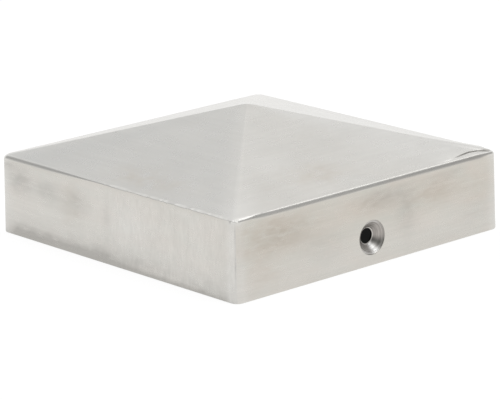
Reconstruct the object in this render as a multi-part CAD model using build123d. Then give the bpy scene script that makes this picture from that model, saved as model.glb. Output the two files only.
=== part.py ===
from build123d import *
import os
from math import atan, cos, radians, tan

# Post cap: a low pyramid roof over a square skirt, one piece of stainless steel, open below.
# Millimetres, +Z up, origin at the middle of the open rim. The screw holes face -Y and +Y.

# The square post and the play around it
post_width = 90.0
post_gap = 0.5

# Walls
skirt_wall = 3.0
roof_wall = 2.0

# Skirt: its height up to the brow, where the roof begins, and its lean outwards to the rim
skirt_height = 22.0
skirt_flare = 1.0
corner_round = 2.1
inner_corner_round = 1.0
rim_break = 0.5

# Roof: its rise from the brow to the point, how round the brow is, and the small blunt crown at the point
roof_rise = 14.0
brow_round = 1.3
crown_side = 1.4
crown_corner_share = 0.45
crown_round = 2.5

# Screw holes: a straight bore, a countersink with a small ledge at its mouth, and their height
screw_height = 7.7
bore_diameter = 4.2
sink_angle = 90.0
sink_land = 0.5
sink_step = 0.35
sink_ledge = 0.4
cut_over = 1.0

# What follows from them: the outer form
lean = tan(radians(skirt_flare))
rim_side = post_width + 2 * (post_gap + skirt_wall)
slope = roof_rise / (rim_side / 2 - skirt_height * lean)

# The hollow: its walls are parallel to the skirt and its ceiling to the roof
hollow_side = rim_side - 2 * skirt_wall
ceiling_point = skirt_height + roof_rise - roof_wall / cos(atan(slope))
ceiling_height = (ceiling_point - slope * hollow_side / 2) / (1 - slope * lean)
ceiling_rise = ceiling_point - ceiling_height


def rounded_square(side, corner, height):
    """A level square section with rounded corners."""
    return Pos(0, 0, height) * RectangleRounded(side, side, corner)


def ruled_solid(sections):
    """A solid through level sections, with planes between their sides and ruled faces between corners."""
    faces = [sections[0].face(), sections[-1].face()]
    for lower, upper in zip(sections, sections[1:]):
        for low, high in zip(lower.edges(), upper.edges()):
            if low.geom_type == GeomType.LINE:
                faces.append(Face(Wire.make_polygon([low @ 0, low @ 1, high @ 1, high @ 0])))
            else:
                faces.append(Face.make_surface_from_curves(low, high))
    return Solid(Shell(faces))


def tent(side, corner, height, rise, edge):
    """A flared skirt under a pyramid: its hips start as round as the skirt's corners and sharpen to a point.
    The rim's edge is bevelled: edge is how far it stands out, or in where it is negative."""
    bevel = abs(edge)
    brow_side = side - 2 * height * lean
    crown_height = height + rise * (1 - crown_side / brow_side)
    return ruled_solid(
        [
            rounded_square(side + 2 * edge, corner + edge, 0),
            rounded_square(side - 2 * bevel * lean, corner, bevel),
            rounded_square(brow_side, corner, height),
            rounded_square(crown_side, crown_corner_share * crown_side, crown_height),
        ]
    )


def level_edges(part, height):
    """The edges that lie level at a height."""
    tolerance = 0.001
    return [
        edge
        for edge in part.edges()
        if abs(edge.bounding_box().min.Z - height) < tolerance
        and abs(edge.bounding_box().max.Z - height) < tolerance
    ]


def screw_cutter():
    """What a screw hole takes away, along +Z, with the wall's outer face at zero."""
    bore = bore_diameter / 2
    cone_depth = skirt_wall - sink_step - sink_land
    cone = bore + cone_depth * tan(radians(sink_angle / 2))
    mouth = cone + sink_ledge
    with BuildSketch(Plane.XZ) as half:
        with BuildLine():
            Polyline(
                (0, cut_over),
                (mouth, cut_over),
                (mouth, -sink_step),
                (cone, -sink_step),
                (bore, -sink_step - cone_depth),
                (bore, -skirt_wall - cut_over),
                (0, -skirt_wall - cut_over),
                close=True,
            )
        make_face()
    return revolve(half.sketch, Axis.Z)


# The solid form, its brow and point rounded
form = tent(rim_side, corner_round, skirt_height, roof_rise, -rim_break)
form = fillet(level_edges(form, skirt_height), brow_round)
form = fillet(level_edges(form, form.bounding_box().max.Z), crown_round)

# The hollow, which the rim's inner edge widens at its mouth
hollow = tent(hollow_side, inner_corner_round, ceiling_height, ceiling_rise, rim_break)

# The cap: hollowed, then drilled through the two sides
cap = form - hollow
face_distance = rim_side / 2 - screw_height * lean
for way in (-1, 1):
    place = Plane(origin=(0, way * face_distance, screw_height), z_dir=(0, way, 0))
    cap -= place * screw_cutter()

cap.label = "post_cap"
os.makedirs("parts", exist_ok=True)
export_step(cap, "parts/post_cap.step")
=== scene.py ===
import math

import bmesh
import bpy
from mathutils import Matrix, Vector, noise


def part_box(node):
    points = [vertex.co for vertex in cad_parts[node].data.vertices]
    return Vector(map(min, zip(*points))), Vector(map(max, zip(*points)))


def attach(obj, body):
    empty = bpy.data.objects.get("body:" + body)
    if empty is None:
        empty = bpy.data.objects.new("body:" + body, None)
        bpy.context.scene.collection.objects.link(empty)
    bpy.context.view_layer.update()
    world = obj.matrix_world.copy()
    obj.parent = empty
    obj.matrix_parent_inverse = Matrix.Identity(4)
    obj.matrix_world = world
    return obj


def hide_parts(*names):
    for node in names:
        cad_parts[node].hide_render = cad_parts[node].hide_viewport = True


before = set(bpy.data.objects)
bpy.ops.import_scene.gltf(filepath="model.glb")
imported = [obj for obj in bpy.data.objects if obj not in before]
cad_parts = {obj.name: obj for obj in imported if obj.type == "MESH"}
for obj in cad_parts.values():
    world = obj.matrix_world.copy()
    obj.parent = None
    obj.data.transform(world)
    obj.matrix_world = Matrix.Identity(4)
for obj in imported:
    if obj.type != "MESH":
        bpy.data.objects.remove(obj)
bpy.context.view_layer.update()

# Skirt and roof: the ground outside of the cap, of stainless steel plate, thicker at the skirt.
# Four sides stand under a low pyramid. They are folded and welded at the corners, and the welds
# are ground flush by hand, so no two corners are quite equally round.

mm = 0.001
cap_low, cap_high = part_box("post_cap")
rim_half = cap_high.x
cap_height = cap_high.z
rim_round = 0.5 * mm
skirt_lean = math.radians(1.0)
skirt_height = 22.0 * mm
roof_rise = 14.0 * mm

brow_half = rim_half - (skirt_height - rim_round) * math.tan(skirt_lean)
roof_slope = roof_rise / brow_half
roof_pitch = math.atan(roof_slope)
roof_point = skirt_height + roof_rise
crown_blunt = (roof_point - cap_height) / roof_slope

# The sides in turn: front, right, back, left. Each corner comes after its side, the near one last.
side_out = [Vector((0, -1, 0)), Vector((1, 0, 0)), Vector((0, 1, 0)), Vector((-1, 0, 0))]
side_run = [Vector((1, 0, 0)), Vector((0, 1, 0)), Vector((-1, 0, 0)), Vector((0, -1, 0))]
front, right, back, left = range(4)
corner_round_low = [2.2 * mm, 2.1 * mm, 2.2 * mm, 2.5 * mm]
corner_round_high = [2.0 * mm, 2.0 * mm, 1.9 * mm, 1.3 * mm]
hip_round = [2.0 * mm, 2.0 * mm, 2.0 * mm, 2.2 * mm]
hip_sharpening = 6
brow_round_start = [0.55 * mm, 1.2 * mm, 1.4 * mm, 1.40 * mm]
brow_round_middle = [1.45 * mm, 1.2 * mm, 1.2 * mm, 0.20 * mm]
brow_round_end = [0.8 * mm, 1.4 * mm, 1.40 * mm, 0.12 * mm]
brow_round_reach = [3.5 * mm, 18.0 * mm, 35.0 * mm, 5.5 * mm]
brow_wander = 0.1
brow_wander_length = 9.0 * mm
brow_wander_fade = 0.25

# Screw holes on two sides, each in a square patch of finer faces
drilled_sides = (front, back)
screw_height = 7.7 * mm
patch_half = 6.0 * mm
patch_step = 0.5 * mm
patch_cells = round(2 * patch_half / patch_step)
place_tolerance = 1e-6

# Knocks along the brow: side, place along it, half width and depth, and where over the brow's round they lie
nick_middle, nick_half = 0.35, 0.3
brow_nicks = [
    (left, 45.4 * mm, 0.4 * mm, 0.05 * mm),
    (right, -20.0 * mm, 0.7 * mm, 0.05 * mm),
    (back, 14.0 * mm, 0.6 * mm, 0.06 * mm),
]

# Facet where the disc ran out at one end of the front brow, under a small step that it left standing
facet_from = 26.0 * mm
facet_whole = 44.0 * mm
facet_past_corner = 7.0 * mm
facet_width = 1.3 * mm
facet_least = 0.2
facet_closes_from = 2.4 * mm
facet_closed_past = 0.9 * mm
step_run = 0.40 * mm
step_run_corner = 1.4 * mm
step_height = 0.26 * mm
step_height_corner = 0.38 * mm
step_reach = 7.0 * mm
# The crease under the step is darkened with painted shade. The band is this wide, widens towards the corner
# and grows with the facet.
crease_width = 0.3 * mm
crease_widening = 2.0
crease_growth = (0.3, 0.9)
foot_end = 2.6 * mm

# Narrow bevel that a file left along the left brow and round the near corner, uneven in width
bevel_from = -14.0 * mm
bevel_whole = 2.0 * mm
bevel_front_from = -34.0 * mm
bevel_front_whole = -46.0 * mm
bevel_width = 0.75 * mm
bevel_slope = 0.24
bevel_share = 0.75
bevel_uneven = 0.9
bevel_uneven_length = 1.3 * mm
bevel_draw = (5.0, 0.5)

# Stations round the cap: places along each straight side and steps round each corner
corner_steps = 22
straight_half = rim_half - max(corner_round_low)


def side_places(side):
    """Places along a side, from -1 at one corner to 1 at the next, closer at screw holes and knocks."""
    spacing = 2.0 * mm
    closest = 0.08 * mm
    count = round(2 * straight_half / spacing)
    drilled = side in drilled_sides
    patch = [-patch_half + patch_step * i for i in range(patch_cells + 1)] if drilled else []
    others = [-straight_half + 2 * straight_half * i / count for i in range(1, count)]
    for nicked, along, width, depth in brow_nicks:
        if nicked == side:
            others += [along + width * i / 2 for i in range(-4, 5)]
    fine_from = {front: facet_from, left: bevel_from}.get(side, straight_half)
    fine_spacing = 0.65 * mm
    fine_count = round((straight_half - fine_from) / fine_spacing)
    others += [fine_from + fine_spacing * i for i in range(fine_count)]
    places = [-straight_half] + patch + [straight_half]
    for place in others:
        beside_patch = not drilled or abs(place) > patch_half
        if beside_patch and abs(place) < straight_half and all(abs(place - p) > closest for p in places):
            places.append(place)
    return [place / straight_half for place in sorted(places)]


stations = []
for side in range(4):
    stations += [("side", side, place) for place in side_places(side)]
    stations += [("corner", side, math.pi / 2 * step / corner_steps) for step in range(1, corner_steps)]


def side_spot(station):
    """The side that a station lies on and its place along it, each corner shared by its two sides."""
    kind, side, place = station
    if kind == "side":
        return side, place * straight_half
    if place < math.pi / 4:
        return side, straight_half + corner_round_low[side] * place
    return (side + 1) % 4, -straight_half - corner_round_low[side] * (math.pi / 2 - place)


def smooth_step(low, high, value):
    """0 at low, 1 at high and smooth between them."""
    share = min(1, max(0, (value - low) / (high - low)))
    return share * share * (3 - 2 * share)


def plan_point(station, half, rounds):
    """Where a station lies in plan on a square of this half side with these corner rounds."""
    kind, side, place = station
    out, run = side_out[side], side_run[side]
    if kind == "side":
        start = rounds[side - 1] - half
        end = half - rounds[side]
        return out * half + run * (start + (end - start) * (place + 1) / 2)
    middle = (out + run) * (half - rounds[side])
    return middle + (out * math.cos(place) + run * math.sin(place)) * rounds[side]


def brow_round(station):
    """How round the brow is there: it was dressed by hand, more at one corner than at another."""
    kind, side, place = station
    if kind == "corner":
        turned = smooth_step(0, math.pi / 2, place)
        before, after = brow_round_end[side], brow_round_start[(side + 1) % 4]
        return before + (after - before) * turned
    rounding = brow_round_middle[side]
    ends = ((brow_round_end[side], side, 1 - place), (brow_round_start[side], side - 1, 1 + place))
    for at_corner, corner, gap in ends:
        share = math.exp(-((gap * straight_half / brow_round_reach[corner]) ** 4))
        rounding += (at_corner - brow_round_middle[side]) * share
    spot = plan_point(station, rim_half, corner_round_high) / brow_wander_length
    from_corner = min(1 - place, 1 + place)
    return rounding * (1 + brow_wander * noise.noise(spot) * min(1, from_corner / brow_wander_fade))


def blend_rounds(low, high, share):
    """Corner rounds part of the way from one list to another."""
    return [a + (b - a) * share for a, b in zip(low, high)]


def skirt_half(height):
    """Half the skirt's side at a height: it leans in towards the brow."""
    return rim_half - (height - rim_round) * math.tan(skirt_lean)


def facet_growth(station):
    """How much of the facet at one end of the front brow there is at a station, from 0 to 1."""
    side, along = side_spot(station)
    if side == front:
        return smooth_step(facet_from, facet_whole, along)
    if side == right:
        return 1 - smooth_step(-straight_half, facet_past_corner - straight_half, along)
    return 0.0


def facet_closing(station):
    """How far the facet has closed towards the corner at its end, from 0 to 1."""
    side, along = side_spot(station)
    if side != front:
        return 1.0
    return smooth_step(straight_half - facet_closes_from, straight_half + facet_closed_past, along)


def facet_edge(station):
    """How far up the roof the facet reaches at a station, or the rows that follow it."""
    open_share = facet_growth(station) * (1 - facet_closing(station))
    return facet_width * max(facet_least, open_share)


def profile_place(station, row):
    """A row's part and share, where the rows near the roof's foot follow the facet and its step."""
    part, share = row
    if part != "foot":
        return row
    zone, zone_share = share
    edge = facet_edge(station)
    ends = [0, edge, edge + step_run, foot_end]
    return "roof", (ends[zone] + (ends[zone + 1] - ends[zone]) * zone_share) / brow_half


def bevel_growth(station):
    """How much of the bevel by the near corner there is at a station, from 0 to 1."""
    side, along = side_spot(station)
    if side == left:
        spot = Vector((bevel_draw[0], along / bevel_uneven_length, bevel_draw[1]))
        share = bevel_share + bevel_uneven * noise.noise(spot)
        return smooth_step(bevel_from, bevel_whole, along) * min(1, max(0, share))
    return smooth_step(bevel_front_from, bevel_front_whole, along) if side == front else 0.0


def outside_point(station, row):
    """A point of the outside: where row is a part of the profile and a share or height in it."""
    part, share = profile_place(station, row)
    rounding = brow_round(station)
    bevelled = bevel_growth(station)
    bevel_fall = bevel_slope * min(1, 2 * bevelled)
    first, last = skirt_lean, math.pi / 2 - math.atan(roof_slope + bevel_fall)
    setback = rounding * math.tan((last - first) / 2)
    start_height = skirt_height - bevel_fall * bevel_width * bevelled - setback * math.cos(skirt_lean)
    if part == "rim":
        turn = share * math.pi / 2
        half = rim_half - rim_round * (1 - math.sin(turn))
        height = rim_round * (1 - math.cos(turn))
        rounds = [value - rim_round * (1 - math.sin(turn)) for value in corner_round_low]
    elif part in ("skirt", "under_brow"):
        top_row = screw_height + patch_half
        height = share if part == "skirt" else top_row + (start_height - top_row) * share
        half = skirt_half(height)
        rounds = blend_rounds(corner_round_low, corner_round_high, height / skirt_height)
    else:
        middle_half = skirt_half(start_height) - rounding * math.cos(first)
        middle_height = start_height - rounding * math.sin(first)
        turn = first + (last - first) * (share if part == "brow" else 1)
        half = middle_half + rounding * math.cos(turn)
        height = middle_height + rounding * math.sin(turn)
        rounds = corner_round_high
        if part == "roof":
            foot = half
            half = foot * (1 - share)
            height = roof_point - roof_slope * math.hypot(half, crown_blunt)
            height -= bevel_fall * max(0, bevel_width * bevelled - share * brow_half)
            hip = blend_rounds(hip_round, corner_round_high, max(0, half / brow_half) ** hip_sharpening)
            rounds = [value * half / foot for value in hip]
    place = plan_point(station, half, rounds)
    return Vector((place.x, place.y, height))


# Rows from the rim up to the crown, closer where the form turns quickly
over_rim = 0.9 * mm
roof_steps = 34
roof_crowding = 0.8
crown_start = 0.996
patch_rows = [("skirt", screw_height - patch_half + patch_step * i) for i in range(patch_cells + 1)]
rim_rows = [("rim", i / 4) for i in range(5)]
low_rows = [("skirt", over_rim)]
high_rows = [("under_brow", i / 6) for i in range(1, 6)]
brow_rows = [("brow", i / 10) for i in range(11)]
foot_zones = (6, 5, 8)
foot_rows = []
for zone, count in enumerate(foot_zones):
    foot_rows += [("foot", (zone, i / count)) for i in range(1, count + 1)]
roof_rows = [("roof", (i / roof_steps) ** roof_crowding) for i in range(1, roof_steps)]
roof_rows.append(("roof", crown_start))
outside_rows = rim_rows + low_rows + patch_rows + high_rows + brow_rows + foot_rows + roof_rows
first_patch_row = len(rim_rows + low_rows)

cap_mesh = bmesh.new()
wear_and_painted_light_names = ("polish_and_highlight", "soil_and_shade", "weld_heat", "scorch", "dulling", "upright_grain")
wear_and_painted_light_layers = [cap_mesh.verts.layers.float.new(name) for name in wear_and_painted_light_names]


def band_of_faces(lower, upper, finish, keep_out=None, flip=False):
    """Quads between two closed rows of points, apart from those that keep_out names."""
    count = len(lower)
    for i in range(count):
        if keep_out and keep_out(i):
            continue
        j = (i + 1) % count
        corners = [lower[i], lower[j], upper[j], upper[i]]
        face = cap_mesh.faces.new(corners[::-1] if flip else corners)
        face.material_index = finish
        face.smooth = True


def in_patch(i):
    """Whether the quad after this station lies in a screw hole's patch."""
    kind, side, place = stations[i]
    on_drilled = kind == "side" and side in drilled_sides
    edge = patch_half / straight_half
    return on_drilled and -edge - place_tolerance < place < edge - place_tolerance


# Wear and painted shade of the outside: edges and hips polished by the disc, soil along the rim and in the
# weld lines, the tints that welding heat left, most of all on the front, and roof faces dulled by handling.
# The soil mask also carries painted shade along the rim and in the crease under the facet's step, and on the
# cones the polish mask carries painted highlights.
side_heat = [0.80, 0.55, 0.75, 0.47]
side_soil_and_shade = [0.06, 0.45, 0.40, 1.70]
side_shine = [0.04, 0.05, 0.04, 0.26]
rim_shine = [0.24, 0.10, 0.15, 0.0]
brow_tarnish = [0.0, 0.10, 0.10, 0.0]
roof_heat = [0.05, 0.06, 0.08, 0.02]
roof_dulling = [0.04, 0.20, 0.20, 0.66]
hip_shine = [0.7, 0.6, 0.3, 0.7]
filed_shine = [1.0, 0.0, 0.0, 0.55]
roof_scorch = 0.05
weld_line_depth = [0.05 * mm, 0.04 * mm, 0.05 * mm, 0.06 * mm]
weld_line_angle = [0.85, 0.75, 0.70, 0.70]
weld_line_width = [0.30 * mm, 0.25 * mm, 0.50 * mm, 0.20 * mm]
weld_line_soil = [0.35, 0.40, 0.60, 1.0]
weld_line_share = 0.85
weld_line_breaks = 0.7
weld_line_break_length = 4.0 * mm
weld_line_fade = (2.0 * mm, 10.0 * mm)

# How far the wear reaches: on the roof, on the brow and on the skirt
hip_reach = 4.0 * mm
hip_shine_top = 0.25
hip_shine_fall = 8
clean_end = (10.0 * mm, 40.0 * mm)
clean_end_shine = 0.3
dull_end = (-20.0 * mm, -40.0 * mm)
dull_end_share = 0.40
filed_corner_share = 0.3
filed_edge = (0.2 * mm, 0.1 * mm)
filed_growth = (0.1, 0.6)
brow_shine = 0.8
brow_corner_reach = 2.0 * mm
brow_soil_low = (0.0, 0.2)
brow_soil_high = (0.85, 0.55)
low_zone = (15.0 * mm, 3.0 * mm)
low_cooling = 0.25
corner_shine = 0.45
corner_shine_reach = 1.6 * mm
upright_zone = (-24.0 * mm, 10.0 * mm)

# Soil along the rim, with painted shade over it where the skirt would mirror the floor's shadow: lines along
# it, by strength and height, and a band in blots over half a side
rim_lines = [(0.52, 1.1 * mm), (0.24, 5.5 * mm)]
rim_line_end = (51.0 * mm, 42.0 * mm)
rim_band_reach = 3.2 * mm
rim_band_wander = 0.9 * mm
rim_band_wander_length = 9.0 * mm
rim_band_fall = 1.6
rim_band_start = (-50.0 * mm, -38.0 * mm)
rim_band_end = (16.0 * mm, -6.0 * mm)
blot_depth = 0.22
blot_length = 7.0 * mm
blot_height = 5.0 * mm
side_draw = 7.0
reach_draw = 3.0

# Marks: side, part of it, place along it, height or way in from the brow, half length, half width
# (all in millimetres) and strength
scorch_marks = [
    (front, "skirt", -34.0, 16.0, 12.0, 4.5, 0.80),
    (front, "skirt", -39.0, 6.0, 9.0, 5.0, 0.26),
    (front, "skirt", 0.0, 17.0, 9.0, 3.0, 0.35),
    (front, "skirt", 23.0, 15.5, 10.0, 3.5, 0.46),
    (front, "skirt", 41.0, 14.0, 6.0, 5.0, 0.20),
    (left, "skirt", -18.0, 14.0, 4.0, 6.0, 0.28),
    (left, "roof", 7.0, 6.5, 11.0, 4.0, 0.35),
    (front, "roof", -10.0, 10.0, 9.0, 5.0, 0.30),
    (right, "skirt", -24.0, 15.0, 12.0, 4.0, 0.35),
    (right, "skirt", 30.0, 11.0, 9.0, 5.0, 0.25),
    (back, "skirt", 22.0, 15.0, 12.0, 4.0, 0.55),
    (back, "skirt", -34.0, 13.0, 8.0, 5.0, 0.40),
]
soil_marks = [
    (left, "skirt", -39.5, 16.0, 5.0, 3.2, 0.72),
    (left, "skirt", -28.0, 15.4, 5.0, 3.0, 0.58),
    (left, "skirt", -16.0, 14.8, 5.5, 3.6, 0.44),
    (left, "skirt", -3.0, 13.0, 1.6, 4.0, 0.28),
    (left, "skirt", 9.0, 2.5, 11.0, 2.2, 0.20),
    (left, "skirt", -46.0, 20.4, 2.6, 1.6, 1.0),
    (left, "skirt", -40.0, 20.8, 6.0, 0.9, 0.45),
    (front, "skirt", 5.0, 17.8, 8.0, 3.0, 0.42),
    (front, "skirt", 13.0, 12.0, 3.5, 6.0, 0.36),
    (front, "skirt", -18.0, 9.5, 9.0, 5.0, 0.20),
    (front, "skirt", 39.0, 6.0, 8.0, 4.0, 0.22),
    (front, "skirt", -32.0, 15.0, 9.0, 4.0, 0.18),
    (front, "skirt", 24.0, 15.0, 9.0, 4.0, 0.08),
    (front, "skirt", 28.0, 19.6, 9.0, 1.6, 0.22),
    (front, "brow", 36.0, 22.0, 12.0, 2.0, 0.55),
    (right, "skirt", 12.0, 16.0, 5.0, 2.5, 0.25),
    (back, "skirt", -8.0, 17.0, 5.0, 2.2, 0.25),
]
shine_marks = [
    (left, "skirt", 6.0, 13.0, 8.0, 6.0, 0.38),
    (right, "skirt", -8.0, 9.0, 9.0, 6.0, 0.25),
    (back, "skirt", 38.0, 8.0, 8.0, 6.0, 0.20),
]


def marked(marks, side, part, along, up):
    """How strongly the marks of one kind cover a spot of a side."""
    cover = 0.0
    for on_side, on_part, place, rise, half_length, half_width, strength in marks:
        if on_side == side and on_part == part:
            off_along = (along / mm - place) / half_length
            off_up = (up / mm - rise) / half_width
            cover += strength * math.exp(-off_along * off_along - off_up * off_up)
    return cover


def weld_line(station, height):
    """How far into a corner's weld line a point lies, from 0 to 1, broken along its length."""
    kind, side, place = station
    if kind != "corner":
        return 0.0
    off_line = (place - weld_line_angle[side]) * corner_round_low[side] / weld_line_width[side]
    spot = Vector((side, 0, height / weld_line_break_length))
    broken = weld_line_share + weld_line_breaks * noise.noise(spot)
    fade = smooth_step(*weld_line_fade, height)
    return max(0, broken) * fade * math.exp(-off_line * off_line)


def step(station, up):
    """How high the roof stands over that facet at a point, by the way up the roof from its foot."""
    edge = facet_edge(station)
    closing = facet_closing(station)
    run = step_run + (step_run_corner - step_run) * closing
    height = step_height + (step_height_corner - step_height) * closing
    past = max(0, up - edge - run) / step_reach
    return height * facet_growth(station) * smooth_step(edge, edge + run, up) * math.exp(-past * past)


def crease_shade(station, up):
    """How far into the painted shade along the crease under that step a point lies, from 0 to 1."""
    width = crease_width * (1 + crease_widening * facet_closing(station))
    off_line = (up - facet_edge(station) - step_run / 2) / width
    return smooth_step(*crease_growth, facet_growth(station)) * math.exp(-off_line * off_line)


def rim_soil_and_shade(side, along, height):
    """How much soil and painted shade along the rim cover a spot of a side."""
    blot_spot = Vector((side * side_draw, along / blot_length, height / blot_height))
    reach_spot = Vector((side * side_draw, along / rim_band_wander_length, reach_draw))
    blots = 1.0 + blot_depth * noise.noise(blot_spot)
    reach = rim_band_reach + rim_band_wander * noise.noise(reach_spot)
    rim_band = smooth_step(*rim_band_start, along) * smooth_step(*rim_band_end, along)
    rim_band *= math.exp(-((height / reach) ** rim_band_fall))
    line = sum(strength * math.exp(-((height / rise) ** 2)) for strength, rise in rim_lines)
    line *= smooth_step(*rim_line_end, along)
    return side_soil_and_shade[side] * max(0, blots) * max(rim_band, line)


def roof_wear_and_painted_shade(station, share):
    """The masks of wear and of painted shade at a point of the roof, in the order of their names."""
    side, along = side_spot(station)
    gap = max(0, straight_half - abs(along))
    low = 1 - share
    up = share * brow_half
    hip = math.exp(-((gap * low / hip_reach) ** 2))
    shine = hip_shine[side if along > 0 else side - 1]
    clean = smooth_step(*clean_end, along) if side == front else 0.0
    dull = smooth_step(*dull_end, along) if side == left else 0.0
    polish_and_highlight = shine * hip * (hip_shine_top + (1 - hip_shine_top) * low ** hip_shine_fall)
    polish_and_highlight += clean_end_shine * clean
    heat = roof_heat[side] * (1 - clean)
    scorch = (roof_scorch + marked(scorch_marks, side, "roof", along * low, up)) * (1 - clean)
    dulling = (roof_dulling[side] + dull_end_share * dull) * (1 - shine * hip)
    # Painted shade in the crease under the step, carried by the soil mask.
    soil_and_shade = crease_shade(station, up)
    filed_width = bevel_width * bevel_growth(station)
    filed = filed_shine[side] * (filed_corner_share if station[0] == "corner" else 1)
    filed *= smooth_step(filed_width + filed_edge[0], filed_width - filed_edge[1], up)
    filed *= smooth_step(*filed_growth, bevel_growth(station))
    polish_and_highlight = max(polish_and_highlight, filed)
    return polish_and_highlight * (1 - soil_and_shade), soil_and_shade, heat, scorch, dulling * (1 - min(1, filed)), 0.0


def brow_wear(station, share):
    """The wear masks at a point of the brow, in the order of their names."""
    side, along = side_spot(station)
    gap = max(0, straight_half - abs(along))
    polish_and_highlight = max(math.exp(-((gap / brow_corner_reach) ** 2)), brow_shine * math.sin(math.pi * share))
    soil_and_shade = brow_tarnish[side] + marked(soil_marks, side, "brow", along, skirt_height)
    soil_and_shade *= smooth_step(*brow_soil_low, share) * smooth_step(*brow_soil_high, share)
    heat = side_heat[side] + (roof_heat[side] - side_heat[side]) * share
    return polish_and_highlight, soil_and_shade, heat, 0.0, roof_dulling[side] * share, 0.0


def skirt_wear_and_painted_shade(station, height):
    """The masks of wear and of painted shade at a point of the skirt, in the order of their names."""
    side, along = side_spot(station)
    gap = max(0, straight_half - abs(along))
    low = smooth_step(*low_zone, height)
    polish_and_highlight = side_shine[side] + rim_shine[side] * low
    polish_and_highlight += corner_shine * math.exp(-((gap / corner_shine_reach) ** 2))
    polish_and_highlight += marked(shine_marks, side, "skirt", along, height)
    # Near the rim the soil mask also carries painted shade: the floor's shadow as the skirt would mirror it.
    soil_and_shade = rim_soil_and_shade(side, along, height) + marked(soil_marks, side, "skirt", along, height)
    soil_and_shade = max(soil_and_shade, weld_line_soil[station[1]] * weld_line(station, height))
    scorch = marked(scorch_marks, side, "skirt", along, height)
    heat = side_heat[side] * (1 - low_cooling * low)
    upright = smooth_step(*upright_zone, along) if side == left else 0.0
    return polish_and_highlight, soil_and_shade, heat, scorch, 0.0, upright


def outside_wear_and_painted_shade(station, row, point):
    """The masks of wear and of painted shade at a point of the outside, in the order of their names."""
    part, share = profile_place(station, row)
    if part == "roof":
        return roof_wear_and_painted_shade(station, share)
    if part == "brow":
        return brow_wear(station, share)
    return skirt_wear_and_painted_shade(station, point.z)


def carry_wear_and_painted_light(vert, wear_and_painted_light):
    """Writes a point's masks of wear and of painted light to the mesh."""
    strongest = 1.5
    for layer, value in zip(wear_and_painted_light_layers, wear_and_painted_light):
        vert[layer] = min(strongest, value)


ground_finish, turned_finish, raw_finish = 0, 1, 2
outside_points = []
for row in outside_rows:
    points = []
    for station in stations:
        vert = cap_mesh.verts.new(outside_point(station, row))
        carry_wear_and_painted_light(vert, outside_wear_and_painted_shade(station, row, vert.co))
        points.append(vert)
    outside_points.append(points)
for i in range(len(outside_rows) - 1):
    over_patch = first_patch_row <= i < first_patch_row + patch_cells
    band_of_faces(outside_points[i], outside_points[i + 1], ground_finish, in_patch if over_patch else None)
crown = cap_mesh.verts.new((0, 0, cap_height))
for i in range(len(stations)):
    face = cap_mesh.faces.new((outside_points[-1][i], outside_points[-1][(i + 1) % len(stations)], crown))
    face.smooth = True

# Handwork on the outside: slow waves left by the grinding disc, a line along each ground corner weld,
# the knocks in the brow, and the step over the facet, which alone stands proud.
wave_depth = 0.05 * mm
wave_length = 21.0 * mm
wave_fade = 2.0 * mm
cap_mesh.normal_update()
for row, points in zip(outside_rows, outside_points):
    if row[0] == "rim":
        continue
    for station, vert in zip(stations, points):
        part, share = profile_place(station, row)
        kind, side, place = station
        spot = vert.co / wave_length
        cut = wave_depth * (0.5 + 0.5 * noise.noise(spot)) * (1 - share if part == "roof" else 1)
        if part == "skirt":
            cut *= min(1, max(0, share - rim_round) / wave_fade)
        if part in ("skirt", "under_brow"):
            cut += weld_line_depth[side] * weld_line(station, vert.co.z)
        if part == "brow" and kind == "side":
            for nicked, along, width, depth in brow_nicks:
                if nicked == side:
                    off = (place * straight_half - along) / width
                    over_brow = (share - nick_middle) / nick_half
                    cut += depth * math.exp(-off * off - over_brow * over_brow)
        if part == "roof":
            cut -= step(station, share * brow_half)
        vert.co -= vert.normal * cut

# Hollow: the inside of the same plate, left as rolled, with a small round where the sides meet the roof.
# The square post goes in here, so its walls stand parallel to the skirt and its ceiling to the roof.
plate = 3.0 * mm
roof_plate = 2.0 * mm
hollow_corner = 1.0 * mm
hollow_half = rim_half + rim_round * math.tan(skirt_lean) - plate
ceiling_point = roof_point - roof_plate / math.cos(roof_pitch)
lean_rate = math.tan(skirt_lean)
ceiling_height = (ceiling_point - roof_slope * hollow_half) / (1 - roof_slope * lean_rate)
ceiling_half = hollow_half - ceiling_height * lean_rate
ceiling_round = 0.5 * mm


def inside_point(station, row):
    """A point of the hollow, from its mouth up the wall and over the ceiling."""
    part, share = row
    rounds = [hollow_corner] * 4
    if part == "mouth":
        half = hollow_half + rim_round * (1 - share)
        height = rim_round * share
        rounds = [hollow_corner + rim_round * (1 - share)] * 4
    elif part == "wall":
        height = share
        half = hollow_half - height * lean_rate
    elif part == "bend":
        half = ceiling_half - ceiling_round * share * share
        height = ceiling_height - ceiling_round * (1 - share) ** 2
        height += roof_slope * ceiling_round * share * share
    else:
        half = (ceiling_half - ceiling_round) * (1 - share)
        height = ceiling_point - roof_slope * math.hypot(half, crown_blunt)
        rounds = [hollow_corner * (1 - share)] * 4
    place = plan_point(station, half, rounds)
    return Vector((place.x, place.y, height))


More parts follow.
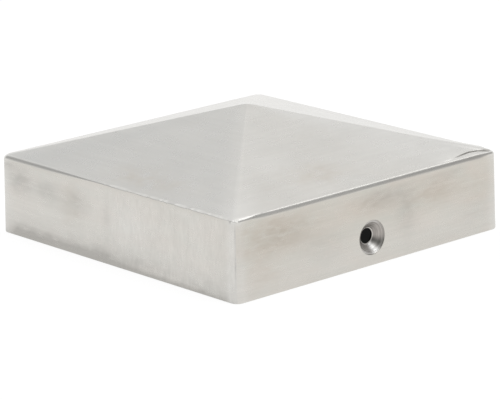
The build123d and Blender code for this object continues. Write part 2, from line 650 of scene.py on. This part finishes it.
inside_rows = [("mouth", 0.0), ("mouth", 1.0), ("wall", over_rim)]
first_inner_patch_row = len(inside_rows)
inside_rows += [("wall", height) for part, height in patch_rows]
wall_top = patch_rows[-1][1]
wall_end = ceiling_height - ceiling_round
inside_rows += [("wall", wall_top + (wall_end - wall_top) * i / 3) for i in (1, 2)]
inside_rows += [("bend", i / 4) for i in range(5)]
inside_rows += [("ceiling", i / 12) for i in range(1, 12)] + [("ceiling", 0.99)]
inside_points = [[cap_mesh.verts.new(inside_point(s, row)) for s in stations] for row in inside_rows]
for i in range(len(inside_rows) - 1):
    over_patch = first_inner_patch_row <= i < first_inner_patch_row + patch_cells
    keep_out = in_patch if over_patch else None
    band_of_faces(inside_points[i], inside_points[i + 1], raw_finish, keep_out, flip=True)
inner_crown = cap_mesh.verts.new((0, 0, ceiling_point - roof_slope * crown_blunt))
for i in range(len(stations)):
    face = cap_mesh.faces.new((inside_points[-1][(i + 1) % len(stations)], inside_points[-1][i], inner_crown))
    face.material_index = raw_finish
    face.smooth = True
band_of_faces(outside_points[0], inside_points[0], ground_finish, flip=True)

# Screw holes: one in the front and one in the back, for a countersunk screw into the post.
# They are drilled through and then turned out with a stepped countersink, whose cutter chattered.
bore_round = 2.1 * mm
sink_land = 0.5 * mm
sink_step = 0.35 * mm
sink_ledge = 0.4 * mm
sink_depth = plate - sink_step - sink_land
sink_round = bore_round + sink_depth
mouth_round = sink_round + sink_ledge
ledge_hollow = 0.24 * mm
bore_ledge = 0.22 * mm
edge_break = 0.1 * mm
ripple_depth = 0.008 * mm
ripples = 4.3
ripple_crowding = 0.4
ledge_rows = 6
cone_rows = 36

# Painted light round each cone: the angle from its right side, half width (both in degrees) and strength; the
# light marks are painted highlights, the dark one a painted dark reflection
painted_highlight_marks = [(-69, 19, 1.0), (-122, 30, 0.35), (95, 40, 0.40)]
painted_dark_reflection_marks = [(-34, 18, 1.0)]
ledge_oil = 0.5


def patch_border(rows_of_points, first_row, side):
    """The border of a screw hole's patch, once round from its lower left corner."""
    edge = patch_half / straight_half
    columns = [
        i for i, (kind, where, place) in enumerate(stations)
        if kind == "side" and where == side and abs(place) < edge + place_tolerance
    ]
    low, high = first_row, first_row + patch_cells
    border = [rows_of_points[low][i] for i in columns[:-1]]
    border += [rows_of_points[row][columns[-1]] for row in range(low, high)]
    border += [rows_of_points[high][i] for i in reversed(columns[1:])]
    border += [rows_of_points[row][columns[0]] for row in range(high, low, -1)]
    return border


def ring_of_points(side, distance, radius, count, leaning=None):
    """A circle of points round the screw's axis, level or following a leaning wall."""
    out, run = side_out[side], side_run[side]
    points = []
    for i in range(count):
        turn = math.pi * 2 * i / count - math.pi * 3 / 4
        height = screw_height + radius * math.sin(turn)
        reach = leaning(height) if leaning else distance
        spot = out * reach + run * (radius * math.cos(turn))
        points.append(cap_mesh.verts.new((spot.x, spot.y, height)))
    return points


def round_marks(marks, turn):
    """How strongly the marks of one kind cover a place round a cone."""
    cover = 0.0
    for angle, half_width, strength in marks:
        off = (math.degrees(turn) - angle) / half_width
        cover += strength * math.exp(-off * off)
    return cover


def spread_points(border, ring, share):
    """A row of points part of the way from a patch's border to a ring."""
    return [cap_mesh.verts.new(a.co.lerp(b.co, share)) for a, b in zip(border, ring)]


def countersink_steps(wall):
    """Radius and depth of each ring from the mouth to the bore's end, in a wall of this thickness."""
    half_break = edge_break / 2
    steps = []
    for i in range(ledge_rows + 1):
        turn = math.pi / 2 * i / ledge_rows
        in_from_mouth = ledge_hollow * (1 - math.cos(turn))
        above_ledge = ledge_hollow * (1 - math.sin(turn))
        steps.append((mouth_round - in_from_mouth, sink_step - above_ledge))
    steps += [(sink_round + half_break, sink_step), (sink_round, sink_step + half_break)]
    for i in range(1, cone_rows + 1):
        share = i / cone_rows * (1 - bore_ledge / sink_depth)
        crowded = share * (1 + ripple_crowding * (1 - share))
        wave = ripple_depth * math.sin(2 * math.pi * ripples * crowded)
        steps.append((sink_round - sink_depth * share + wave, sink_step + sink_depth * share + wave))
    ledge_depth = sink_step + sink_depth - bore_ledge
    steps += [(bore_round + half_break, ledge_depth), (bore_round, ledge_depth + half_break)]
    return steps + [(bore_round, wall - 2 * edge_break)]


def screw_hole(side):
    """Joins a patch of the outside to one of the inside by a stepped countersink and a bore."""
    face_reach = skirt_half(screw_height)
    wall_reach = hollow_half - screw_height * lean_rate
    outer = patch_border(outside_points, first_patch_row, side)
    inner = patch_border(inside_points, first_inner_patch_row, side)
    count = len(outer)
    face_cut = wave_depth / 2
    collar = ring_of_points(side, 0, mouth_round + 4 * edge_break, count, lambda z: skirt_half(z) - face_cut)
    rows = [outer] + [spread_points(outer, collar, share) for share in (0.3, 0.6, 0.85)] + [collar]
    lip = [(edge_break, 0.0), (edge_break * 0.3, edge_break * 0.3), (0.0, edge_break)]
    for grow, sink in lip:
        rows.append(
            ring_of_points(side, 0, mouth_round + grow, count, lambda z: skirt_half(z) - face_cut - sink)
        )
    finishes = [ground_finish] * (len(rows) - 1)
    steps = countersink_steps(face_reach - wall_reach)
    bright_step = len(steps) - 3
    for i, (radius, depth) in enumerate(steps):
        rows.append(ring_of_points(side, face_reach - depth, radius, count))
        finishes.append(ground_finish if i == bright_step else turned_finish)
    burr = ring_of_points(side, 0, bore_round + edge_break, count, lambda z: hollow_half - z * lean_rate)
    rows.append(burr)
    finishes.append(turned_finish)
    rows += [spread_points(inner, burr, share) for share in (0.8, 0.5, 0.25)] + [inner]
    finishes += [raw_finish] * 4
    for lower, upper, finish in zip(rows, rows[1:], finishes):
        band_of_faces(lower, upper, finish)
    for row, finish in zip(rows[1:], finishes):
        for vert in row if finish != raw_finish else []:
            along = vert.co.dot(side_run[side])
            station = ("side", side, along / straight_half)
            wear_and_painted_light = skirt_wear_and_painted_shade(station, vert.co.z)
            if finish == turned_finish:
                turn = math.atan2(vert.co.z - screw_height, along)
                on_ledge = face_reach - vert.co.dot(side_out[side]) < sink_step + edge_break
                # On the cone the first mask holds painted highlights and the second a painted dark
                # reflection, with oil on the ledge.
                oil_and_dark_reflection = round_marks(painted_dark_reflection_marks, turn) + (ledge_oil if on_ledge else 0.0)
                wear_and_painted_light = (round_marks(painted_highlight_marks, turn), oil_and_dark_reflection, 0.0, 0.0, 0.0, 0.0)
            carry_wear_and_painted_light(vert, wear_and_painted_light)


for side in drilled_sides:
    screw_hole(side)

bmesh.ops.recalc_face_normals(cap_mesh, faces=cap_mesh.faces)
if cap_mesh.calc_volume(signed=True) < 0:
    bmesh.ops.reverse_faces(cap_mesh, faces=cap_mesh.faces)
cap_data = bpy.data.meshes.new("post_cap_steel")
cap_mesh.to_mesh(cap_data)
cap_mesh.free()
steel_cap = bpy.data.objects.new("steel_cap", cap_data)
bpy.context.scene.collection.objects.link(steel_cap)


# Steel finishes: a satin ground outside, bright turned countersinks and the dull rolled inside.
# They share two effects, the fine lines that a grinding belt leaves and the cloudy mottling of steel.
def add_node(tree, kind, place, inputs=None, **settings):
    """A node at a place on the sheet, its inputs plain values or other nodes' outputs."""
    node = tree.nodes.new(kind)
    node.location = place
    for name, value in settings.items():
        setattr(node, name, value)
    for socket, value in (inputs or {}).items():
        if isinstance(value, bpy.types.NodeSocket):
            tree.links.new(value, node.inputs[socket])
        else:
            node.inputs[socket].default_value = value
    return node


def new_group(name, inputs, outputs):
    """An empty node group with named inputs and outputs."""
    group = bpy.data.node_groups.new(name, "ShaderNodeTree")
    for socket, kind in inputs:
        group.interface.new_socket(socket, in_out="INPUT", socket_type=kind)
    for socket, kind in outputs:
        group.interface.new_socket(socket, in_out="OUTPUT", socket_type=kind)
    return group


def map_range(tree, place, value, before, after, **settings):
    """A number moved from one range to another."""
    ends = {"From Min": before[0], "From Max": before[1], "To Min": after[0], "To Max": after[1]}
    node = add_node(tree, "ShaderNodeMapRange", place, inputs={"Value": value, **ends}, **settings)
    return node.outputs["Result"]


def join_numbers(tree, place, operation, first, second=0.0, clamp=False):
    """Two numbers joined by an operation, each a plain one or another node's."""
    inputs = {0: first, 1: second}
    return add_node(tree, "ShaderNodeMath", place, inputs, operation=operation, use_clamp=clamp).outputs[0]


def stretched_place(group):
    """The place that a group is given, stretched along each axis."""
    given = add_node(group, "NodeGroupInput", (-700, 0)).outputs
    inputs = {0: given["Place"], 1: given["Stretch"]}
    return add_node(group, "ShaderNodeVectorMath", (-500, 0), inputs, operation="MULTIPLY").outputs[0]


number, vector = "NodeSocketFloat", "NodeSocketVector"
place_inputs = [("Place", vector), ("Stretch", vector)]
whole = (0.0, 1.0)
belt_marks = new_group("belt_marks", place_inputs, [("Lines", number)])
stretched = stretched_place(belt_marks)
fine, coarse = [
    add_node(
        belt_marks, "ShaderNodeTexNoise", (-200, level),
        inputs={"Vector": stretched, "Scale": scale, "Detail": 2.0, "Roughness": 0.5},
    )
    for level, scale in ((100, 1.0), (-150, 0.27))
]
coarse_share = 0.4
both = add_node(
    belt_marks, "ShaderNodeMix", (100, 0),
    inputs={0: coarse_share, 2: fine.outputs["Fac"], 3: coarse.outputs["Fac"]},
)
add_node(belt_marks, "NodeGroupOutput", (600, 0), inputs={"Lines": both.outputs[0]})

# Layers of the mottling: scale, detail, roughness and twist
cloud_layers = {"Cloud": (0.6, 3.0, 0.5, 0.3), "Fleck": (3.2, 2.0, 0.5, 0.2), "Warmth": (1.0, 3.0, 0.5, 0.6)}
cloud_range = (0.3, 0.7)
steel_cloud = new_group("steel_cloud", place_inputs, [(name, number) for name in cloud_layers])
stretched = stretched_place(steel_cloud)
sheet_out = add_node(steel_cloud, "NodeGroupOutput", (500, 0))
for i, (name, values) in enumerate(cloud_layers.items()):
    level = 250 - 250 * i
    settings = dict(zip(("Scale", "Detail", "Roughness", "Distortion"), values))
    layer = add_node(
        steel_cloud, "ShaderNodeTexNoise", (-200, level), inputs={"Vector": stretched, **settings}
    )
    spread = map_range(steel_cloud, (100, level), layer.outputs["Fac"], cloud_range, whole)
    steel_cloud.links.new(spread, sheet_out.inputs[name])


def group_node(tree, group, place, where, stretch):
    """A shared effect placed in a material, with its own stretch."""
    return add_node(
        tree, "ShaderNodeGroup", place, node_tree=group, inputs={"Place": where, "Stretch": stretch}
    )


def tint_mix(tree, place, share, first, second):
    """Mixes two colours, each a plain one or another node's, by a share from another node."""
    first, second = [colour + (1,) if isinstance(colour, tuple) else colour for colour in (first, second)]
    inputs = {0: share, 6: first, 7: second}
    return add_node(tree, "ShaderNodeMix", place, inputs, data_type="RGBA").outputs[2]


def scale_colour(tree, place, colour, scale):
    """A colour made lighter or darker by another node's number."""
    inputs = {0: colour, "Scale": scale}
    return add_node(tree, "ShaderNodeVectorMath", place, inputs, operation="SCALE").outputs[0]


def wear_mask(tree, place, name):
    """A wear mask that the mesh carries."""
    return add_node(tree, "ShaderNodeAttribute", place, attribute_name=name).outputs["Fac"]


def steel_sheet(name, cloud_stretch, line_stretch):
    """An empty steel material with its place, clouds and lines."""
    finish = bpy.data.materials.new(name)
    finish.use_nodes = True
    tree = finish.node_tree
    tree.nodes["Principled BSDF"].inputs["Metallic"].default_value = 1.0
    where = add_node(tree, "ShaderNodeTexCoord", (-1900, 0)).outputs["Object"]
    clouds = group_node(tree, steel_cloud, (-1650, 200), where, cloud_stretch).outputs
    lines = group_node(tree, belt_marks, (-1650, -200), where, line_stretch).outputs["Lines"]
    return finish, tree, where, clouds, lines


def finish_surface(tree, colour, rough_share, rough, height, depth):
    """Joins colour, roughness and a bump to the material's shader."""
    surface = tree.nodes["Principled BSDF"]
    roughness = map_range(tree, (-300, -50), rough_share, whole, rough)
    bump = add_node(
        tree, "ShaderNodeBump", (-300, -350), inputs={"Strength": 0.5, "Distance": depth, "Height": height}
    )
    tree.links.new(colour, surface.inputs["Base Color"])
    tree.links.new(roughness, surface.inputs["Roughness"])
    tree.links.new(bump.outputs["Normal"], surface.inputs["Normal"])


# Ground outside: plain where it is clean, straw, olive and brown where it was hot, grey where it is dull, and
# dark under soil and under painted shade.
plain_light, plain_dark = (0.665, 0.655, 0.628), (0.605, 0.594, 0.566)
straw, heat_grey, scorched = (0.618, 0.566, 0.504), (0.582, 0.566, 0.509), (0.520, 0.470, 0.405)
dull_grey, polished, soil_and_shade_dark = (0.573, 0.573, 0.558), (0.760, 0.756, 0.742), (0.310, 0.297, 0.274)
soil_and_shade_strength = 0.75
polish_strength = 0.5
belt_stretch = (70.0, 70.0, 2800.0)
upright_stretch = (1500.0, 1500.0, 420.0)
ground_steel, tree, where, clouds, lines = steel_sheet("ground_steel", (85.0, 85.0, 210.0), belt_stretch)
plain = tint_mix(tree, (-1300, 400), clouds["Cloud"], plain_light, plain_dark)
dulled = tint_mix(tree, (-1150, 400), wear_mask(tree, (-1300, 800), "dulling"), plain, dull_grey)
heated = tint_mix(tree, (-1300, 150), clouds["Warmth"], heat_grey, straw)
tinted = tint_mix(tree, (-1000, 300), wear_mask(tree, (-1300, 650), "weld_heat"), dulled, heated)
scorch_mask = wear_mask(tree, (-1200, -50), "scorch")
broken_scorch = join_numbers(tree, (-1300, 0), "ADD", clouds["Warmth"], clouds["Fleck"])
scorch_share = join_numbers(tree, (-1000, 0), "MULTIPLY", broken_scorch, scorch_mask, clamp=True)
browned = tint_mix(tree, (-850, 300), scorch_share, tinted, scorched)
# The soil mask darkens both soil and painted shade, in the crease under the step and along the rim.
soil_and_shade_mask = wear_mask(tree, (-1300, -300), "soil_and_shade")
broken_soil_and_shade = map_range(tree, (-1300, -100), clouds["Fleck"], whole, (0.70, 1.20))
soil_and_shade_cover = join_numbers(tree, (-1050, -150), "MULTIPLY", broken_soil_and_shade, soil_and_shade_mask, clamp=True)
soil_and_shade_share = join_numbers(tree, (-900, -100), "MULTIPLY", soil_and_shade_cover, soil_and_shade_strength, clamp=True)
soiled_and_shaded = tint_mix(tree, (-700, 250), soil_and_shade_share, browned, soil_and_shade_dark)
polish_mask = wear_mask(tree, (-1100, -450), "polish_and_highlight")
polish_share = join_numbers(tree, (-900, -300), "MULTIPLY", polish_mask, polish_strength, clamp=True)
bright = tint_mix(tree, (-550, 250), polish_share, soiled_and_shaded, polished)
upright_lines = group_node(tree, belt_marks, (-1650, -450), where, upright_stretch).outputs["Lines"]
clear_lines = map_range(tree, (-1450, -500), upright_lines, (0.25, 0.75), (0.05, 0.95))
upright_mask = wear_mask(tree, (-1500, -700), "upright_grain")
grain = add_node(tree, "ShaderNodeMix", (-1300, -600), inputs={0: upright_mask, 2: lines, 3: clear_lines})
streak = map_range(tree, (-1100, -650), grain.outputs[0], (0.1, 0.9), (0.936, 1.064))
streaked = scale_colour(tree, (-400, 250), bright, streak)
finish_surface(tree, streaked, clouds["Fleck"], (0.265, 0.30), grain.outputs[0], 0.004 * mm)

# Turned countersinks: freshly cut, with rings round the screw's axis and oil on the ledge. On each cone lie a
# painted highlight streak with lighter sectors, a painted dark reflection, and painted shade towards the
# bore.
cut_light, cut_dark = (0.454, 0.425, 0.398), (0.398, 0.370, 0.345)
oil_and_dark_reflection_steel, painted_highlight_steel = (0.190, 0.184, 0.172), (0.780, 0.775, 0.760)
ring_stretch = (120.0, 2000.0, 120.0)
turned_steel, tree, where, clouds, lines = steel_sheet("turned_steel", (150.0, 150.0, 150.0), ring_stretch)
cut_colour = tint_mix(tree, (-1300, 300), clouds["Cloud"], cut_light, cut_dark)
oil_and_dark_reflection_colour = tint_mix(tree, (-1150, 300), wear_mask(tree, (-1300, 550), "soil_and_shade"), cut_colour, oil_and_dark_reflection_steel)
painted_highlight_mask = wear_mask(tree, (-1300, 700), "polish_and_highlight")
cone_colour = tint_mix(tree, (-1000, 400), painted_highlight_mask, oil_and_dark_reflection_colour, painted_highlight_steel)
rings = map_range(tree, (-1300, -400), lines, (0.38, 0.62), (0.68, 1.29))
# Painted shade: the cone is darker towards the bore and lighter at its mouth.
cone_place = add_node(tree, "ShaderNodeSeparateXYZ", (-1650, -650), inputs={0: where}).outputs["Y"]
cone_reach = join_numbers(tree, (-1450, -650), "ABSOLUTE", cone_place)
cone_depth_shade = map_range(tree, (-1250, -650), cone_reach, (rim_half - plate, rim_half), (0.84, 1.10))
ring_tone = join_numbers(tree, (-1000, -450), "MULTIPLY", rings, cone_depth_shade)
ringed = scale_colour(tree, (-1000, 250), cone_colour, ring_tone)
finish_surface(tree, ringed, clouds["Fleck"], (0.37, 0.43), lines, 0.01 * mm)

# Rolled inside: dull, cloudy and a little pitted, as the plate came from the mill.
rolled_light, rolled_dark, stain = (0.500, 0.495, 0.480), (0.360, 0.352, 0.338), (0.420, 0.370, 0.310)
stain_strength = 0.4
rolling_stretch = (300.0, 300.0, 2000.0)
raw_steel, tree, where, clouds, lines = steel_sheet("raw_steel", (70.0, 70.0, 70.0), rolling_stretch)
rolled = tint_mix(tree, (-1300, 300), clouds["Cloud"], rolled_light, rolled_dark)
stain_share = join_numbers(tree, (-1300, 50), "MULTIPLY", clouds["Warmth"], stain_strength, clamp=True)
stained = tint_mix(tree, (-1050, 300), stain_share, rolled, stain)
finish_surface(tree, stained, clouds["Fleck"], (0.42, 0.58), clouds["Fleck"], 0.03 * mm)
for finish in (ground_steel, turned_steel, raw_steel):
    cap_data.materials.append(finish)
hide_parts("post_cap")
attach(steel_cap, "root")

# Floor: a plain white studio table under the cap, of painted board and wide enough to fill the view.
# It gives off the white that the camera and the steel see, and its own colour takes the cap's shadow.
# From below it is let through, both ways, so that the hollow can be looked into.
floor_half = 4.0
floor_drop = 0.02 * mm
board_colour = (0.16, 0.16, 0.16, 1)
board_glow = 0.897
glow_under_cap = 0.012
floor_data = bpy.data.meshes.new("table_top")
floor_z = cap_low.z - floor_drop
floor_corners = [(x * floor_half, y * floor_half, floor_z) for x, y in ((-1, -1), (1, -1), (1, 1), (-1, 1))]
floor_data.from_pydata(floor_corners, [], [(0, 1, 2, 3)])
table_top = bpy.data.objects.new("table_top", floor_data)
bpy.context.scene.collection.objects.link(table_top)
white_board = bpy.data.materials.new("white_board")
white_board.use_nodes = True
tree = white_board.node_tree
surface = tree.nodes["Principled BSDF"]
surface.inputs["Base Color"].default_value = board_colour
surface.inputs["Roughness"].default_value = 1.0
surface.inputs["Specular IOR Level"].default_value = 0.0
surface.inputs["Emission Color"].default_value = (1, 1, 1, 1)
board = add_node(tree, "ShaderNodeNewGeometry", (-1300, -500)).outputs
board_place = add_node(tree, "ShaderNodeSeparateXYZ", (-1100, -500), inputs={0: board["Position"]}).outputs
beside = []
for axis in ("X", "Y"):
    off_middle = join_numbers(tree, (-900, -450), "ABSOLUTE", board_place[axis])
    beside.append(join_numbers(tree, (-700, -450), "GREATER_THAN", off_middle, rim_half - 2 * mm))
uncovered = join_numbers(tree, (-500, -450), "MAXIMUM", *beside)
glow_share = map_range(tree, (-300, -450), uncovered, whole, (glow_under_cap, 1.0))
ray = add_node(tree, "ShaderNodeLightPath", (-900, -200)).outputs
camera_or_glossy = join_numbers(tree, (-700, -200), "MAXIMUM", ray["Is Camera Ray"], ray["Is Glossy Ray"])
seen = join_numbers(tree, (-500, -200), "MAXIMUM", camera_or_glossy, ray["Is Transmission Ray"])
glow = join_numbers(tree, (-300, -200), "MULTIPLY", seen, board_glow)
open_glow = join_numbers(tree, (-150, -250), "MULTIPLY", glow, glow_share)
tree.links.new(open_glow, surface.inputs["Emission Strength"])
from_below = join_numbers(tree, (-300, 500), "GREATER_THAN", ray["Transparent Depth"], 0.5)
see_through = join_numbers(tree, (-100, 400), "MAXIMUM", board["Backfacing"], from_below)
clear = add_node(tree, "ShaderNodeBsdfTransparent", (100, 200))
two_sided = add_node(
    tree, "ShaderNodeMixShader", (400, 100),
    inputs={0: see_through, 1: surface.outputs[0], 2: clear.outputs[0]},
)
tree.links.new(two_sided.outputs[0], tree.nodes["Material Output"].inputs["Surface"])
floor_data.materials.append(white_board)

# Studio: a plain room with three walls of their own tones, round the way that the camera looks.
# The grey wall behind the camera and the side walls draw the dark line along the brow, and the bright
# one ahead gives the roof its tone. Two softboxes light the countersink's cone and the brow.
room = bpy.data.worlds.new("studio_room")
bpy.context.scene.world = room
room.use_nodes = True
tree = room.node_tree
direction = add_node(tree, "ShaderNodeTexCoord", (-1100, 0)).outputs["Generated"]
direction_up = add_node(tree, "ShaderNodeSeparateXYZ", (-900, 0), inputs={0: direction}).outputs["Z"]
upward = map_range(tree, (-700, 0), direction_up, (-1.0, 1.0), whole)


def wall_tones(place, tones):
    """Brightness of a wall by the elevation in degrees."""
    ramp = add_node(tree, "ShaderNodeValToRGB", place, inputs={"Fac": upward})
    stops = ramp.color_ramp.elements
    while len(stops) < len(tones):
        stops.new(0.5)
    for stop, (elevation, tone) in zip(stops, tones):
        stop.position = 0.5 + 0.5 * math.sin(math.radians(elevation))
        stop.color = (tone, tone, tone, 1)
    return ramp.outputs["Color"]


walls = wall_tones((-400, 500), [(-90, 0.95), (0, 0.85), (20, 0.60), (40, 0.52), (70, 0.52), (90, 1.2)])
side_wall = wall_tones(
    (-400, 200), [(-90, 0.95), (-4, 0.95), (5, 0.80), (16, 0.54), (34, 0.42), (50, 0.44), (64, 1.2)]
)
far_wall = wall_tones(
    (-400, -200), [(-90, 1.15), (0, 1.28), (14, 1.10), (30, 0.835), (38, 0.945), (48, 1.30), (90, 1.35)]
)
view_heading = (0.668, 0.744, 0.0)
ahead = add_node(
    tree, "ShaderNodeVectorMath", (-700, -300), operation="DOT_PRODUCT",
    inputs={0: direction, 1: view_heading},
).outputs["Value"]
for place, next_wall, turn in ((-100, side_wall, (-0.50, -0.20)), (200, far_wall, (0.36, 0.58))):
    share = map_range(tree, (place - 200, -500), ahead, turn, whole, interpolation_type="SMOOTHSTEP")
    walls = tint_mix(tree, (place, 0), share, walls, next_wall)
tree.links.new(walls, tree.nodes["Background"].inputs["Color"])


def softbox(name, towards, distance, width, height, radiance):
    """A flat lamp of even brightness that faces the cap from a direction."""
    lamp = bpy.data.lights.new(name, "AREA")
    lamp.shape = "RECTANGLE"
    lamp.size = width
    lamp.size_y = height
    lamp.energy = radiance * math.pi * width * height
    stand = bpy.data.objects.new(name, lamp)
    away = Vector(towards).normalized()
    stand.location = away * distance
    stand.rotation_mode = "QUATERNION"
    stand.rotation_quaternion = away.to_track_quat("Z", "Y")
    bpy.context.scene.collection.objects.link(stand)


softbox("softbox_front", (0.17, -0.52, 0.835), 1.2, 0.50, 1.40, 1.0)
softbox("softbox_right", (0.643, 0.10, 0.76), 1.2, 0.24, 0.24, 0.9)

# Camera: a long lens a little above the cap, near its front corner, as the photograph was taken.
# Its focal length is in pixels of the photograph's width, and it is rolled a little.
lens_focal = 3010.9
image_width = 500
sensor_width = 36.0
view_azimuth = math.radians(-41.95)
view_elevation = math.radians(15.80)
view_roll = math.radians(-1.2286)
view_distance = 830.9 * mm
view_across = 0.29 * mm
view_up = 8.19 * mm
toward = Vector((
    math.sin(view_azimuth) * math.cos(view_elevation),
    -math.cos(view_azimuth) * math.cos(view_elevation),
    math.sin(view_elevation),
))
across = Vector((math.cos(view_azimuth), math.sin(view_azimuth), 0))
upright = toward.cross(across)
stand_point = toward * view_distance + across * view_across + upright * view_up
rolled_across = across * math.cos(view_roll) + upright * math.sin(view_roll)
rolled_up = upright * math.cos(view_roll) - across * math.sin(view_roll)
camera_data = bpy.data.cameras.new("camera")
camera_data.sensor_width = sensor_width
camera_data.sensor_fit = "HORIZONTAL"
camera_data.lens = sensor_width * lens_focal / image_width
camera = bpy.data.objects.new("camera", camera_data)
camera.matrix_world = Matrix.Translation(stand_point) @ Matrix(
    (rolled_across, rolled_up, toward)
).transposed().to_4x4()
bpy.context.scene.collection.objects.link(camera)
bpy.context.scene.camera = camera
bpy.context.scene.view_settings.view_transform = "Standard"

bpy.context.view_layer.update()
